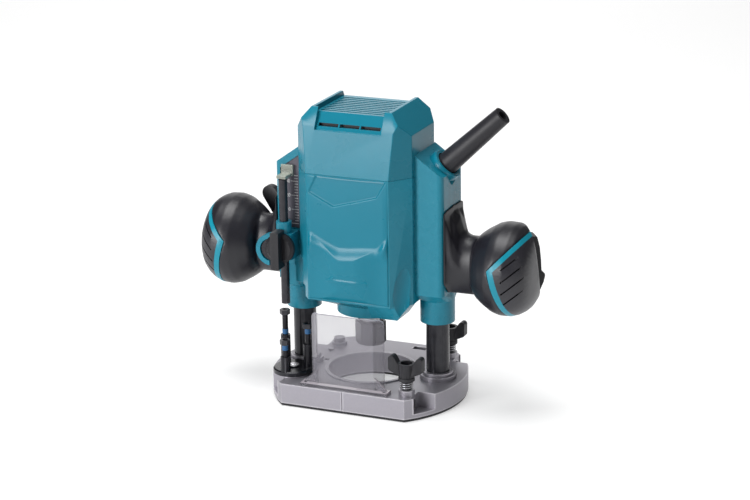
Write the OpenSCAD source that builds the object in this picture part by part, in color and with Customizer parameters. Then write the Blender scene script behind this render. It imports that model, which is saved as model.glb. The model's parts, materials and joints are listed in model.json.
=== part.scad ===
// Compact plunge router: a motor head with two knob handles that slides on two posts above a cast base.
// Millimetres, +Z up. The origin is on the spindle axis at the underside of the sole. The guard is at -Y.

/* [Base] */
// Radius of the round base
base_r = 68; // [64:0.5:72]
// Distance from the spindle axis to the flat front edge
base_front = 51.4; // [50:0.2:54]
// Distance from the spindle axis to the flat rear edge
base_rear = 57; // [54:0.5:60]
// Thickness of the cast base above the sole
base_h = 14; // [13:0.5:16]
// Thickness of the sole plate
sole_t = 2; // [1.5:0.25:3]
// Radius of the opening for the cutter
opening_r = 30; // [26:0.5:31]
// Width of the raised lip round the opening
lip_w = 2.2; // [1.5:0.1:2.5]
// Radius of the bores for the fence rods
rod_bore_r = 4; // [3:0.25:4.5]
// Distance from the spindle axis to each fence rod
rod_y = 40; // [39:0.25:41]
// Distance from the spindle axis to the rod clamp screws
screw_x = 43; // [42:0.5:43.5]

/* [Posts] */
// Radius of the posts
post_r = 8; // [7:0.25:8.5]
// Distance from the spindle axis to each post
post_x = 50; // [49:0.25:51]
// Length of a post above the deck
post_len = 94; // [90:1:98]
// Height of the boss that holds a post
boss_h = 5; // [3:0.5:7]

/* [Head] */
// Gap between the post bosses and the collars with the head up
deck_gap = 36.4; // [36:0.2:44]
// Plunge travel of the head
plunge = 35; // [30:1:35]
// Radius of the collar round each post
collar_r = 12; // [11.6:0.1:12.6]
// Radius of the nose
nose_r = 23; // [22:0.5:25]
// Wall of the housing
wall = 2.6; // [2.2:0.1:3]
// Width of the motor body
body_w = 83; // [80:0.5:86]
// Distance from the spindle axis to the front face
body_front = 37; // [36:0.25:38]
// Distance from the spindle axis to the rear face
body_back = 33; // [32.5:0.25:34]
// Width of the front face
panel_w = 60; // [58:0.5:62]
// Height of the body below the top cover
body_h = 88.5; // [88:0.25:90]
// Height of the top cover up to its shoulders
cover_h = 29; // [27:0.5:31]
// Height from the shoulders to the ridges
ridge_h = 15.5; // [13:0.5:17]
// Distance between the outer edges of the ridges
ridge_w = 58; // [56:0.5:60]
// Distance from the spindle axis to the outer face of a column
column_x = 61.3; // [61:0.1:62.5]
// Half of a column's thickness
column_y = 19; // [18.5:0.1:19.2]

/* [Handles] */
// Distance from the spindle axis to the widest place of a knob
knob_x = 100; // [98:0.5:102]
// Largest radius of a knob
knob_r = 32; // [31:0.5:33.5]
// Height of the knob axis above the collars' lower ends
knob_lift = 42.6; // [41.5:0.1:43.5]
// Wall of a knob under its soft skin
knob_wall = 3; // [2.5:0.25:3.5]
// Thickness of the soft skin
skin_t = 2; // [1.5:0.25:2.5]
// Width of the coloured band
band_w = 4.4; // [3.5:0.1:5]
// Travel of the trigger
trigger_travel = 4; // [3:0.5:5]

/* [Depth stop] */
// Radius of the depth rod
stop_rod_r = 3; // [2.5:0.1:3.2]
// Length of the depth rod
stop_rod_len = 89; // [86:0.5:90]
// Distance from the spindle axis to the depth rod, sideways
stop_x = 51.3; // [51:0.1:51.8]
// Distance from the spindle axis to the depth rod, forwards
stop_y = 27.8; // [27.4:0.1:28.2]
// Radius of the turret
turret_r = 14; // [13.5:0.1:14.2]
// Radius of the circle that the stop bolts stand on
stop_circle = 10.5; // [10.3:0.1:10.6]
// Radius of a stop bolt's thread
stop_bolt_r = 2; // [1.5:0.1:2.1]

/* [Motor] */
// Radius of the stator
stator_r = 29.5; // [28:0.25:30]
// Radius of the armature core
core_r = 17; // [16:0.25:17.5]
// Radius of the spindle
spindle_r = 7.5; // [7:0.25:8]
// Radius of the collet's bore
collet_r = 4; // [3:0.5:4.5]

/* [Cord guard] */
// Diameter of the guard's bore for the mains cord
cord_d = 7; // [6.4:0.1:7.4]
// Length of the tapered guard outside the housing
guard_len = 54.4; // [52:0.2:56]

/* [Hidden] */
$fn = 96;
eps = 0.02;
// Gap of a running fit, on the radius
run_gap = 0.05;
// Gap between curved faces of pieces that move past each other
clear = 0.35;

deck_z = sole_t + base_h;
boss_z = deck_z + boss_h;
head_z = boss_z + deck_gap;
base_cy = -1;
boss_r = 12.5;
body_x = body_w / 2;
panel_x = panel_w / 2;
// How far the chamfers beside the front and rear faces run back
cheek_d = 14;
back_d = 16;
body_z = head_z + 17.1;
seam_z = body_z + body_h;
shoulder_z = seam_z + cover_h;
// Motor stack between the fan and the top cover
baffle_z = body_z + 19;
baffle_t = 4;
stator_z = baffle_z + baffle_t;
bracket_t = 4;
bracket_z = seam_z - bracket_t - 0.5;
comm_z = bracket_z - 11;
core_len = comm_z - 6 - stator_z;
ridge_z = shoulder_z + ridge_h;
nose_z = head_z + 2.5;
nose_lip = 1;
column_z = head_z + 22.6;
column_top = head_z + 120;
column_drop = 14;
knob_z = head_z + knob_lift;

module outline(inset = 0) {
    // Eight-sided plan of the motor body, its walls moved in by inset
    f = body_front - inset;
    b = body_back - inset;
    s = body_x - inset;
    p = panel_x - inset * 0.45;
    polygon([
        [-p, -f], [p, -f], [s, -body_front + cheek_d + inset * 0.4],
        [s, body_back - back_d - inset * 0.4], [p, b], [-p, b],
        [-s, body_back - back_d - inset * 0.4], [-s, -body_front + cheek_d + inset * 0.4]
    ]);
}

module along_x() {
    rotate([0, 90, 0]) children();
}

module along_y() {
    rotate([-90, 0, 0]) children();
}

module block(low, high) {
    translate(low) cube(high - low);
}

module ring(outer, inner, h) {
    difference() {
        cylinder(r = outer, h = h);
        translate([0, 0, -1]) cylinder(r = inner, h = h + 2);
    }
}

module half_space(side) {
    // side is -1 for the front half, 1 for the rear half
    far = 200;
    translate([-far, side < 0 ? -far : 0, -far]) cube([2 * far, far, 3 * far]);
}

// ---- base ----

module base_plan(inset = 0) {
    intersection() {
        translate([0, base_cy]) circle(r = base_r - inset, $fn = 180);
        translate([-base_r, -base_front + inset])
            square([2 * base_r, base_front + base_rear - 2 * inset]);
    }
}

rod_z = deck_z / 2 + 1.5;
// Open corner notches where the fence rods go in
notch_x = 48;
notch_in = 8;
notch_out = 6.5;
notch_z = sole_t + 3;
turret_pad = 1;
clamp_boss_h = 4;
clamp_boss_r = 5.4;
thread_r = 3;

module rod_notch(sx, sy) {
    scale([sx, sy, 1]) translate([notch_x, rod_y - notch_in, notch_z])
        cube([base_r, notch_in + notch_out, base_h + 8]);
}

module base_casting() {
    color("silver") difference() {
        union() {
            translate([0, 0, sole_t]) linear_extrude(base_h) base_plan();
            cylinder(r = opening_r + lip_w, h = deck_z + 0.8);
            for (x = [-post_x, post_x]) {
                translate([x, 0, sole_t]) cylinder(r = boss_r - 2, h = boss_z - sole_t);
                translate([x, 0, sole_t]) cylinder(r = boss_r, h = boss_z - 2 - sole_t);
            }
            for (y = [-rod_y, rod_y])
                translate([screw_x, y, sole_t]) cylinder(r = clamp_boss_r, h = base_h + clamp_boss_h);
            translate([-screw_x + 2, rod_y - 2, sole_t]) cylinder(r = 5.5, h = base_h + 2);
            translate([-screw_x + 2, rod_y - 2, sole_t]) cylinder(r = 4, h = base_h + 5);
            translate([-screw_x + 1.5, rod_y - 15.6, sole_t]) cylinder(r = 2.2, h = base_h + 1.2);
            translate(turret_at) translate([0, 0, sole_t]) cylinder(r = turret_r - 1, h = base_h + turret_pad);
        }
        translate([0, 0, -1]) cylinder(r = opening_r, h = deck_z + 4, $fn = 180);
        translate([0, 0, -1]) cylinder(r = base_r + 20, h = sole_t + 1);
        for (y = [-rod_y, rod_y]) {
            translate([-base_r, y, rod_z]) along_x() cylinder(r = rod_bore_r, h = 2 * base_r);
            translate([screw_x, y, rod_z]) cylinder(r = thread_r + run_gap, h = base_h + clamp_boss_h);
        }
        for (sx = [-1, 1], sy = [-1, 1]) rod_notch(sx, sy);
        for (x = [-post_x, post_x])
            translate([x, 0, post_foot]) cylinder(r = post_r, h = boss_h + base_h + 2);
        translate(turret_at) translate([0, 0, turret_z - 10]) cylinder(r = pin_r, h = 11);
        // Cast pockets in the deck
        block([12, rod_y + 6, deck_z - 4], [22, rod_y + 11.5, deck_z + 1]);
        block([-37.5, 2.5, deck_z - 3], [-34, 6, deck_z + 1]);
        // Index mark on the front face
        translate([-0.5, -base_front - 1, sole_t + 0.5]) cube([1, 1.5, base_h]);
        for (p = sole_screw_at) translate([p[0], p[1], -1]) cylinder(r = screw_r, h = 8);
    }
}

screw_r = 1.5;
screw_head_r = 3;
sole_screw_at = [[-30, -45], [30, -45], [-30, 50], [30, 50]];
post_foot = sole_t + 3;

module sole_plate() {
    color("dimgray") difference() {
        linear_extrude(sole_t) base_plan(0.6);
        translate([0, 0, -1]) cylinder(r = opening_r + 1, h = sole_t + 2, $fn = 180);
        for (p = sole_screw_at) {
            translate([p[0], p[1], -1]) cylinder(r = screw_r, h = sole_t + 2);
            translate([p[0], p[1], -1]) cylinder(r = screw_head_r, h = 2.2);
        }
    }
}

module sole_screws() {
    color("gray") for (p = sole_screw_at) translate([p[0], p[1], 0]) difference() {
        union() {
            translate([0, 0, 0.3]) cylinder(r = screw_head_r - run_gap, h = 0.9);
            translate([0, 0, 1]) cylinder(r = screw_r - run_gap, h = 5.5);
        }
        for (a = [0, 90]) rotate(a) translate([-1.6, -0.3, -1]) cube([3.2, 0.6, 1.7]);
    }
}

module post(side) {
    color("#1d1c20") translate([side * post_x, 0, 0]) difference() {
        union() {
            translate([0, 0, post_foot]) cylinder(r = post_r, h = post_len + deck_z - post_foot - 1);
            translate([0, 0, deck_z + post_len - 1 - eps]) cylinder(r1 = post_r, r2 = post_r - 1, h = 1);
        }
        // The return spring stands in the hollow post
        translate([0, 0, deck_z + 6]) cylinder(r = post_bore_r, h = post_len);
    }
}

post_bore_r = 5.4;

module left_post() {
    post(-1);
}

module right_post() {
    post(1);
}

// Plan of the clear shield: a front pane and two strips folded back at 45 degrees
guard_pane = 20.9;
guard_fold = 6;
guard_y = 45.5;
guard_t = 1.6;
guard_base = deck_z + 1;
guard_top = deck_z + 51.5;
guard_x = guard_pane + guard_fold;

module guard_front(inset) {
    // Front view, its upper corners cut off and softened
    x = guard_x - inset;
    polygon([
        [-x, guard_base], [x, guard_base], [x, guard_top - 4.5], [x - 0.9, guard_top - 2.2],
        [x - 2.6, guard_top - 0.7], [x - 5, guard_top], [-x + 5, guard_top], [-x + 2.6, guard_top - 0.7],
        [-x + 0.9, guard_top - 2.2], [-x, guard_top - 4.5]
    ]);
}

module chip_guard() {
    t = guard_t;
    foot_x = guard_x + 5;
    color("#e8e4ea", 0.35) union() {
        intersection() {
            linear_extrude(guard_top + 5) polygon([
                [-guard_x, -guard_y + guard_fold], [-guard_pane, -guard_y],
                [guard_pane, -guard_y], [guard_x, -guard_y + guard_fold],
                [guard_x - t * 0.7, -guard_y + guard_fold + t * 0.7], [guard_pane - t * 0.4, -guard_y + t],
                [-guard_pane + t * 0.4, -guard_y + t], [-guard_x + t * 0.7, -guard_y + guard_fold + t * 0.7]
            ]);
            rotate([90, 0, 0]) linear_extrude(80) guard_front(0);
        }
        difference() {
            block([-foot_x, -guard_y - 4, deck_z], [foot_x, -guard_y + guard_fold - 1.5, deck_z + 2]);
            block([-guard_pane, -guard_y + 2, deck_z - 1], [guard_pane, 0, deck_z + 3]);
            for (sx = [-1, 1]) translate([sx * (guard_x + 2.2), -guard_y - 1, deck_z - 1]) cylinder(r = 1.1, h = 4);
        }
        for (sx = [-1, 1]) scale([sx, 1, 1]) translate([0, -guard_y + 1.5, 0]) rotate([90, 0, 0])
            linear_extrude(1.6) polygon([
                [guard_pane - 4, deck_z + 1], [foot_x, deck_z + 1], [guard_pane - 0.6, deck_z + 12]
            ]);
    }
}

wing_z = deck_z + clamp_boss_h + 8.4;

module clamp_screw(side) {
    // Threaded shank with a black winged hub
    color("#242328") translate([screw_x, side * rod_y, 0]) union() {
        difference() {
            union() {
                translate([0, 0, wing_z - 2]) cylinder(r = 5.6, h = 2.2);
                translate([0, 0, wing_z]) cylinder(r1 = 5, r2 = 5.9, h = 10.3);
                for (a = [0, 180]) rotate(a) hull() {
                    translate([4, -2.6, wing_z + 1.5]) cube([1, 5.2, 6]);
                    translate([10.4, 0, wing_z + 6]) along_y() cylinder(r = 1.8, h = 6, center = true, $fn = 24);
                    translate([10, 0, wing_z + 12.8]) along_y() cylinder(r = 2.3, h = 6, center = true, $fn = 24);
                    translate([6, -2.4, wing_z + 8]) cube([1, 4.8, 1.6]);
                }
            }
            translate([0, 0, wing_z + 6.5]) cylinder(r = 4.2, h = 12);
        }
        translate([0, 0, rod_z + rod_bore_r + 0.4]) cylinder(r = thread_r, h = wing_z - rod_z - rod_bore_r);
    }
}

module front_clamp_screw() {
    clamp_screw(-1);
}

module rear_clamp_screw() {
    clamp_screw(1);
}

module coil_spring(r, wire, turns, h, steps = 14) {
    // Helical spring as one swept tube, standing on z = 0
    n = turns * steps;
    rise = (h - wire) / n;
    sides = 6;
    ring_pts = [for (i = [0:n], k = [0:sides - 1])
        let (a = 360 * i / steps, b = 360 * k / sides, rr = r + wire / 2 * cos(b))
            [rr * cos(a), rr * sin(a), wire / 2 + i * rise + wire / 2 * sin(b)]];
    side_faces = [for (i = [0:n - 1], k = [0:sides - 1])
        let (k2 = (k + 1) % sides, a = i * sides, b = a + sides)
            for (f = [[a + k, b + k, b + k2], [a + k, b + k2, a + k2]]) f];
    polyhedron(
        points = ring_pts,
        faces = concat([[for (k = [0:sides - 1]) k]], side_faces, [[for (k = [sides - 1:-1:0]) n * sides + k]]),
        convexity = 6
    );
}

module clamp_spring(side) {
    color("#8c8b90") translate([screw_x, side * rod_y, deck_z + clamp_boss_h + 0.1])
        coil_spring(3.9, 0.8, 5, wing_z - 2 - deck_z - clamp_boss_h - 0.2);
}

module front_clamp_spring() {
    clamp_spring(-1);
}

module rear_clamp_spring() {
    clamp_spring(1);
}

// ---- turret and depth stop ----

pin_r = 2.5;
turret_t = 3.4;
turret_z = deck_z + turret_pad + 0.1;
turret_at = [-stop_x + 4.1, -stop_y + 0.9, 0];
// Places, sleeve tops and head tops of the high, low and middle bolts; the rod comes down between them
stop_angles = [144, -96, 24];
sleeve_top = [24.6, 14.6, 20.4];
bolt_top = [43, 27, 35.5];
bolt_head_r = 3.7;
sleeve_r = 3.4;

module turret_pin() {
    color("gray") translate(turret_at) difference() {
        union() {
            translate([0, 0, turret_z - 9]) cylinder(r = pin_r, h = 9 + turret_t);
            translate([0, 0, turret_z + turret_t + 0.1]) cylinder(r = 4, h = 1);
            translate([0, 0, turret_z + turret_t - 1]) cylinder(r = pin_r, h = 1.5);
        }
        translate([-3.2, -0.5, turret_z + turret_t + 0.6]) cube([6.4, 1, 2]);
    }
}

module turret() {
    // Disc with three tapped sleeves of different heights
    color("#1b1a1d") translate(turret_at) difference() {
        union() {
            translate([0, 0, turret_z]) cylinder(r = turret_r, h = turret_t - 0.8);
            translate([0, 0, turret_z + turret_t - 0.8 - eps]) cylinder(r1 = turret_r, r2 = turret_r - 0.8, h = 0.8);
            for (i = [0:2]) rotate(stop_angles[i]) translate([stop_circle, 0, turret_z])
                cylinder(r = sleeve_r, h = deck_z + sleeve_top[i] - turret_z);
        }
        translate([0, 0, deck_z]) cylinder(r = pin_r + run_gap, h = turret_t + 10);
        for (i = [0:2]) rotate(stop_angles[i]) translate([stop_circle, 0, turret_z - 1])
            cylinder(r = stop_bolt_r + run_gap, h = 40);
    }
}

module stop_bolt(i) {
    // Adjusting bolt with a hexagon head
    a = stop_angles[i];
    top = deck_z + bolt_top[i];
    color("#26252a") translate(turret_at) rotate(a) translate([stop_circle, 0, 0]) difference() {
        union() {
            translate([0, 0, deck_z + 8.4]) cylinder(r = stop_bolt_r, h = top - deck_z - 9.4);
            translate([0, 0, top - 3.5]) rotate(20 - a) cylinder(r = bolt_head_r, h = 3.5, $fn = 6);
        }
        translate([0, 0, top - 0.8]) cylinder(r = 1.8, h = 2);
    }
}

module low_stop_bolt() {
    stop_bolt(1);
}

module middle_stop_bolt() {
    stop_bolt(2);
}

module high_stop_bolt() {
    stop_bolt(0);
}

stop_rod_z = head_z + 9.1;

module depth_rod() {
    color("#2b2a30") translate([-stop_x, -stop_y, stop_rod_z]) union() {
        cylinder(r = stop_rod_r, h = stop_rod_len - 0.8);
        translate([0, 0, stop_rod_len - 0.8 - eps]) cylinder(r1 = stop_rod_r, r2 = stop_rod_r - 0.8, h = 0.8);
    }
}

rod_guide_top = head_z + 67.8;
rod_guide_r = 5.3;
block_z = head_z + 42;
block_h = 18;
block_y = 33;
knob_screw_z = block_z + 8.5;

module rod_clamp_knob() {
    // Round base with a grip bar, and the screw that presses on the rod
    color("#222126") translate([-stop_x, -block_y - 0.3, knob_screw_z]) rotate([90, 0, 0]) union() {
        cylinder(r = 10.6, h = 2.6);
        translate([0, 0, 2.6 - eps]) cylinder(r1 = 10.6, r2 = 8.5, h = 1.6);
        intersection() {
            translate([-3, -13.2, 1]) cube([6, 26.4, 10]);
            cylinder(r = 13.2, h = 12);
        }
        translate([0, 0, -(block_y - stop_y - stop_rod_r) - 0.05]) cylinder(r = 2, h = 4);
    }
}

scale_x0 = body_x + 1.7;
scale_x1 = column_x - 3.9;
scale_z0 = block_z + block_h + 0.6;
scale_depth = 1.6;

function column_roof(x) = column_top - (x - body_x) * column_drop / (column_x - body_x);

module scale_shape(inset = 0) {
    polygon([
        [-scale_x1 + inset, scale_z0 + inset], [-scale_x0 - inset, scale_z0 + inset],
        [-scale_x0 - inset, column_roof(scale_x0) - 6 - inset],
        [-scale_x1 + inset, column_roof(scale_x1) - 6 - inset]
    ]);
}

module scale_plate() {
    color("#77747c") translate([0, -column_y + scale_depth, 0]) rotate([90, 0, 0])
        linear_extrude(0.8) scale_shape(0.15);
}

pointer_z = stop_rod_z + stop_rod_len;

module depth_pointer() {
    // Clear cursor in front of the scale, on a foot that sits on top of the rod
    face = -column_y - 0.35;
    color("#b9c3a6", 0.6) difference() {
        union() {
            block([-stop_x - 4.4, face - 2, pointer_z], [-stop_x + 4.4, face, pointer_z + 7.5]);
            block([-stop_x - 3.4, -stop_y - 3, pointer_z], [-stop_x + 3.4, face - 2 + eps, pointer_z + 2.2]);
        }
        block([-stop_x - 5, face - 2.2, pointer_z + 4], [-stop_x + 5, face - 1.7, pointer_z + 4.5]);
    }
}

// ---- housing ----

module column(side) {
    // Square column round a post, its roof sloping down outwards, over a round collar
    r_corner = 4;
    scale([side, 1, 1]) union() {
        intersection() {
            translate([0, 0, column_z]) linear_extrude(column_top - column_z) union() {
                x0 = body_x - 12;
                translate([x0, -column_y]) square([column_x - r_corner - x0, 2 * column_y]);
                translate([x0, r_corner - column_y]) square([column_x - x0, 2 * (column_y - r_corner)]);
                for (y = [-1, 1]) translate([column_x - r_corner, y * (column_y - r_corner)])
                    circle(r = r_corner);
            }
            translate([0, column_y + 1, 0]) rotate([90, 0, 0]) linear_extrude(2 * column_y + 2) polygon([
                [body_x - 13, 0], [column_x + 1, 0], [column_x + 1, column_roof(column_x + 1)],
                [body_x, column_top], [body_x - 13, column_top]
            ]);
        }
        hull() {
            translate([0, 0, column_z]) linear_extrude(1) polygon([
                [post_x - 14, -column_y + 1], [column_x - 3, -column_y + 1], [column_x - 1, -column_y + 3],
                [column_x - 1, column_y - 3], [column_x - 3, column_y - 1], [post_x - 14, column_y - 1]
            ]);
            translate([post_x, 0, column_z - 6.5]) cylinder(r = collar_r, h = 1, $fn = 48);
        }
        translate([post_x, 0, head_z]) cylinder(r = collar_r, h = column_z - head_z);
    }
}

bore_gap = 0.6;
spring_room = 6.8;
bush_wall = 2;
bush_h = 16;
bush_hi = deck_z + post_len - bush_h - 2.6;
// Closed end of a post's bore, just above the post when the head is right down
post_room_z = deck_z + post_len + plunge + 1.5;

module post_bores() {
    for (x = [-post_x, post_x]) translate([x, 0, 0]) {
        translate([0, 0, head_z - 1]) cylinder(r = post_r + bore_gap, h = post_room_z - head_z + 1);
        translate([0, 0, head_z - 1]) cylinder(r = post_r + bush_wall, h = bush_h + 1);
        translate([0, 0, bush_hi]) cylinder(r = post_r + bush_wall, h = bush_h);
    }
}

cord_from = [column_x - 4.3, 0, seam_z + 5.3];
cord_lean = 47.2;
cord_boss_r = 11.2;
guard_r0 = 7.8;
guard_r1 = 6.2;
// How deep the guard's foot sits in the boss
guard_in = 12;

module on_cord_axis() {
    // Z here runs out along the cord's exit
    translate(cord_from) rotate([0, cord_lean, 0]) children();
}

module whole_shell() {
    // Both housing halves as one piece, without the top cover
    difference() {
        union() {
            translate([0, 0, body_z]) linear_extrude(body_h) outline();
            // Tapered underside and nose
            hull() {
                translate([0, 0, body_z]) linear_extrude(1) outline(1.5);
                translate([0, 0, body_z - 7]) cylinder(r = nose_r + 1, h = 1, $fn = 48);
            }
            translate([0, 0, nose_z]) cylinder(r = nose_r, h = body_z - nose_z);
            // Buttress beside the nose
            hull() {
                block([14, -31, nose_z + 4.6], [33, -10, nose_z + 6]);
                block([12, -34, body_z], [40, -8, body_z + 6]);
            }
            column(-1);
            column(1);
            // Cord boss
            intersection() {
                on_cord_axis() translate([0, 0, -22]) cylinder(r = cord_boss_r, h = 23.4);
                translate([0, -60, head_z + 60]) cube([120, 120, 120]);
            }
            // Rod guide and clamp block on the left column
            translate([-stop_x, -stop_y, block_z + 1]) cylinder(r = rod_guide_r, h = rod_guide_top - block_z - 1);
            block([-stop_x - 7.5, -block_y, block_z], [-stop_x + 7.5, -column_y + 1, block_z + block_h]);
            // Boss of the shaft lock
            translate([0, 14, lock_pin_z]) along_y() cylinder(r = lock_head_r + 2.2, h = body_back - 13);
            // Boss round the front end of the plunge lock's shaft
            translate([-lock_x, -column_y - 2.4, lock_z]) along_y() cylinder(r = 11.3, h = 6);
        }
        // Motor space, with a plain bore for the stator
        difference() {
            translate([0, 0, body_z + 2]) linear_extrude(body_h) outline(wall);
            // Screw bosses along the side walls
            for (p = boss_at) translate([p[0], -12, p[1]]) along_y() cylinder(r = screw_boss_r, h = p[2] + 30);
            // Rings that hold the stator
            for (z = [stator_z + 3, stator_z + core_len - 7]) translate([0, 0, z]) difference() {
                translate([-60, -60, 0]) cube([120, 120, 4]);
                translate([0, 0, -1]) cylinder(r = stator_r, h = 6);
            }
        }
        // Room for the stop bolts under the lowered head, as they stand and a quarter turn on
        block([-column_x - 5, -column_y - 10, head_z + 10], [-stop_x + 3.4, -column_y + 3.6, block_z + 0.2]);
        block([-stop_x - 5.4, -column_y - 2, head_z + 10], [-stop_x + 4.2, -column_y + 6.2, head_z + 34]);
        translate(turret_at) {
            rotate(stop_angles[2]) translate([stop_circle, 0, head_z]) cylinder(r = 5, h = block_z - head_z);
            rotate(stop_angles[1] + 90) translate([stop_circle, 0, head_z]) cylinder(r = 4.4, h = 24.6);
        }
        translate([0, 0, nose_z + nose_lip]) cylinder(r = bearing_r, h = bearing_w);
        translate([0, 0, nose_z + nose_lip + bearing_w - eps]) cylinder(r = bearing_r - 1.5, h = 30);
        translate([0, 0, nose_z - 1]) cylinder(r = 12, h = nose_lip + 2);
        post_bores();
        on_cord_axis() translate([0, 0, -guard_in - 0.2]) cylinder(r = guard_r0 + 2.4, h = 3.4);
        on_cord_axis() translate([0, 0, -guard_in]) cylinder(r = guard_r0 + 0.8, h = 30);
        on_cord_axis() translate([0, 0, -23]) cylinder(r = cord_d / 2 + 1.2, h = 21);
        translate([-stop_x, -stop_y, block_z - 1]) cylinder(r = stop_rod_r + run_gap, h = 60);
        translate([-stop_x, -block_y - 1, knob_screw_z]) along_y() cylinder(r = 2 + run_gap, h = 8);
        translate([0, -column_y + scale_depth, 0]) rotate([90, 0, 0]) linear_extrude(2) scale_shape();
        // The top cover goes in between the columns
        translate([0, 0, seam_z]) linear_extrude(40) outline();
        translate([-lock_x, -60, lock_z]) along_y() cylinder(r = lock_shaft_r + run_gap, h = 120);
        translate([-lock_x, -column_y - 3, lock_z]) along_y() cylinder(r = lock_cap_r + clear, h = 3.9);
        // Shaft lock
        translate([0, 10, lock_pin_z]) along_y() cylinder(r = lock_pin_r + run_gap, h = 40);
        translate([0, lock_seat_y, lock_pin_z]) along_y() cylinder(r = lock_head_r + clear, h = 20);
        for (p = screw_at) {
            translate([p[0], -8, p[1]]) along_y() cylinder(r = 1.5, h = 60);
            translate([p[0], p[2], p[1]]) along_y() cylinder(r = 3.1, h = 60);
        }
    }
}

bearing_r = 16;
bearing_w = 8.4;
lock_shaft_r = 3;
lock_cap_r = 7.8;
lock_x = 65;
lock_z = head_z + 43.6;
lock_pin_r = 2.5;
lock_pin_z = head_z + 14.8;
lock_head_r = 6;
lock_travel = 3;
lock_seat_y = 26.5;
// Screws that draw the halves together, as [x, z, seat of the head in y]
screw_boss_r = 5.5;
boss_at = [
    for (s = [-1, 1], z = [bracket_z - 6.2, baffle_z - 8]) [s * (body_x - 8), z, body_back - 11]
];
screw_at = concat(boss_at, [
    [-post_x, post_room_z + 4, column_y - 5], [post_x + 6.5, post_room_z + 3.3, column_y - 5],
    [-19.5, nose_z + 5.5, 9.4], [19.5, nose_z + 5.5, 9.4]
]);

module front_housing() {
    color("#2b7f99") intersection() {
        whole_shell();
        half_space(-1);
    }
}

module rear_housing() {
    color("#2b7f99") intersection() {
        whole_shell();
        half_space(1);
    }
}

module housing_screws() {
    color("gray") for (p = screw_at) translate([p[0], 0, p[1]]) union() {
        translate([0, -7.8, 0]) along_y() cylinder(r = 1.5, h = p[2] + 8);
        translate([0, p[2], 0]) along_y() cylinder(r = 3, h = 2.2);
    }
}

ridge_front = 27;
ridge_back = 20;
ridge_t = 2.4;
slot_n = 9;
slot_pitch = 4.6;
slot_w = 2.2;

module cover_solid(inset = 0) {
    // Outer form of the top cover: upright shoulders, then sides that lean in to the ridges
    s = body_x - inset;
    intersection() {
        translate([0, 0, seam_z]) linear_extrude(ridge_z - seam_z - inset) outline(inset);
        rotate([90, 0, 90]) translate([0, 0, -60]) linear_extrude(120) polygon([
            [-body_front + inset, seam_z - 1], [-body_front + inset, seam_z],
            [-body_front + 3.2 + inset, shoulder_z + 3], [-ridge_front + inset, ridge_z - inset],
            [ridge_back - inset, ridge_z - inset], [body_back - 3 - inset, shoulder_z],
            [body_back - inset, seam_z], [body_back - inset, seam_z - 1]
        ]);
        rotate([90, 0, 0]) translate([0, 0, -60]) linear_extrude(120) polygon([
            [-s, seam_z - 1], [s, seam_z - 1], [s, shoulder_z],
            [ridge_w / 2 - inset, ridge_z], [-ridge_w / 2 + inset, ridge_z], [-s, shoulder_z]
        ]);
    }
}

module top_cover() {
    inner_x = ridge_w / 2 - ridge_t;
    color("#2b7f99") difference() {
        cover_solid();
        translate([0, 0, -wall]) cover_solid(wall);
        // The grille lies lower than the ridges, and so does the panel in front of it
        translate([-inner_x, -ridge_front + 1, ridge_z - 3.4]) cube([2 * inner_x, 60, 10]);
        rotate([90, 0, 90]) translate([0, 0, -24]) linear_extrude(48) polygon([
            [-body_front - 1, shoulder_z + 1], [-body_front + 4.6, shoulder_z + 1],
            [-ridge_front + 1.8, ridge_z - 3.4], [-ridge_front + 1.8, ridge_z + 5], [-body_front - 1, ridge_z + 5]
        ]);
        // Louvres
        for (i = [0:slot_n - 1])
            translate([-inner_x + 2, -ridge_front + 4.6 + i * slot_pitch, ridge_z - 12])
                cube([2 * inner_x - 4, slot_w, 12]);
        // Front slots
        for (x = [-22.5, -7.2, 8.1])
            translate([x, -body_front - 2, shoulder_z + 3.1]) cube([14.2, 14, 2.2]);
    }
}

module post_bushings() {
    color("#b08d57") for (x = [-post_x, post_x], z = [head_z, bush_hi])
        translate([x, 0, z + 0.1]) ring(post_r + bush_wall, post_r + run_gap, bush_h - 0.1);
}

module post_spring(side) {
    // Stands in the hollow post and pushes on the column's closed upper end
    from = deck_z + 6;
    color("#8c8b90") translate([side * post_x, 0, from + 0.1])
        coil_spring(post_bore_r - 1.4, 1.2, 16, post_room_z - from - 0.2, 10);
}

module left_post_spring() {
    post_spring(-1);
}

module right_post_spring() {
    post_spring(1);
}

// ---- handles ----

// Shape of a knob along its axis, as [distance from its widest place, share of its radius]
knob_curve = [
    [-20, 0.66], [-17, 0.75], [-12, 0.885], [-6, 0.975], [0, 1], [7, 0.99],
    [11.5, 0.94], [15, 0.875], [18, 0.79], [20, 0.69], [21.4, 0.55], [22.2, 0.35], [22.5, 0]
];

module knob_solid(inset = 0) {
    // Body of revolution about the handle's axis, along +X
    translate([knob_x, 0, knob_z]) along_x() rotate(37) rotate_extrude($fn = 64) intersection() {
        polygon(concat(
            [[0, knob_curve[0][0] + inset]],
            [for (p = knob_curve) [
                max(0, p[1] * knob_r - inset),
                max(p[0] - inset * max(0, (p[0] - 8) / 14.5), knob_curve[0][0] + inset)
            ]]
        ));
        translate([0, -40]) square([60, 80]);
    }
}

band_apex = [-3.4, 6.5];
band_up = [16.5, 27.5];
band_down = [6.5, -31];

module beyond_band(extra) {
    // Space outside the chevron line, moved outwards along +X by extra
    apex = [knob_x + band_apex[0] + extra, knob_z + band_apex[1]];
    up = [knob_x + band_up[0] + extra, knob_z + band_up[1]];
    down = [knob_x + band_down[0] + extra, knob_z + band_down[1]];
    rise = 1.6;
    translate([0, 60, 0]) rotate([90, 0, 0]) linear_extrude(120) polygon([
        apex, apex + rise * (up - apex), [200, up[1] + 50], [200, down[1] - 50], apex + rise * (down - apex)
    ]);
}

// The trigger comes out of a flat on its knob that leans in upwards
trigger_flat = 22;
flat_lean = 9.4;

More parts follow.
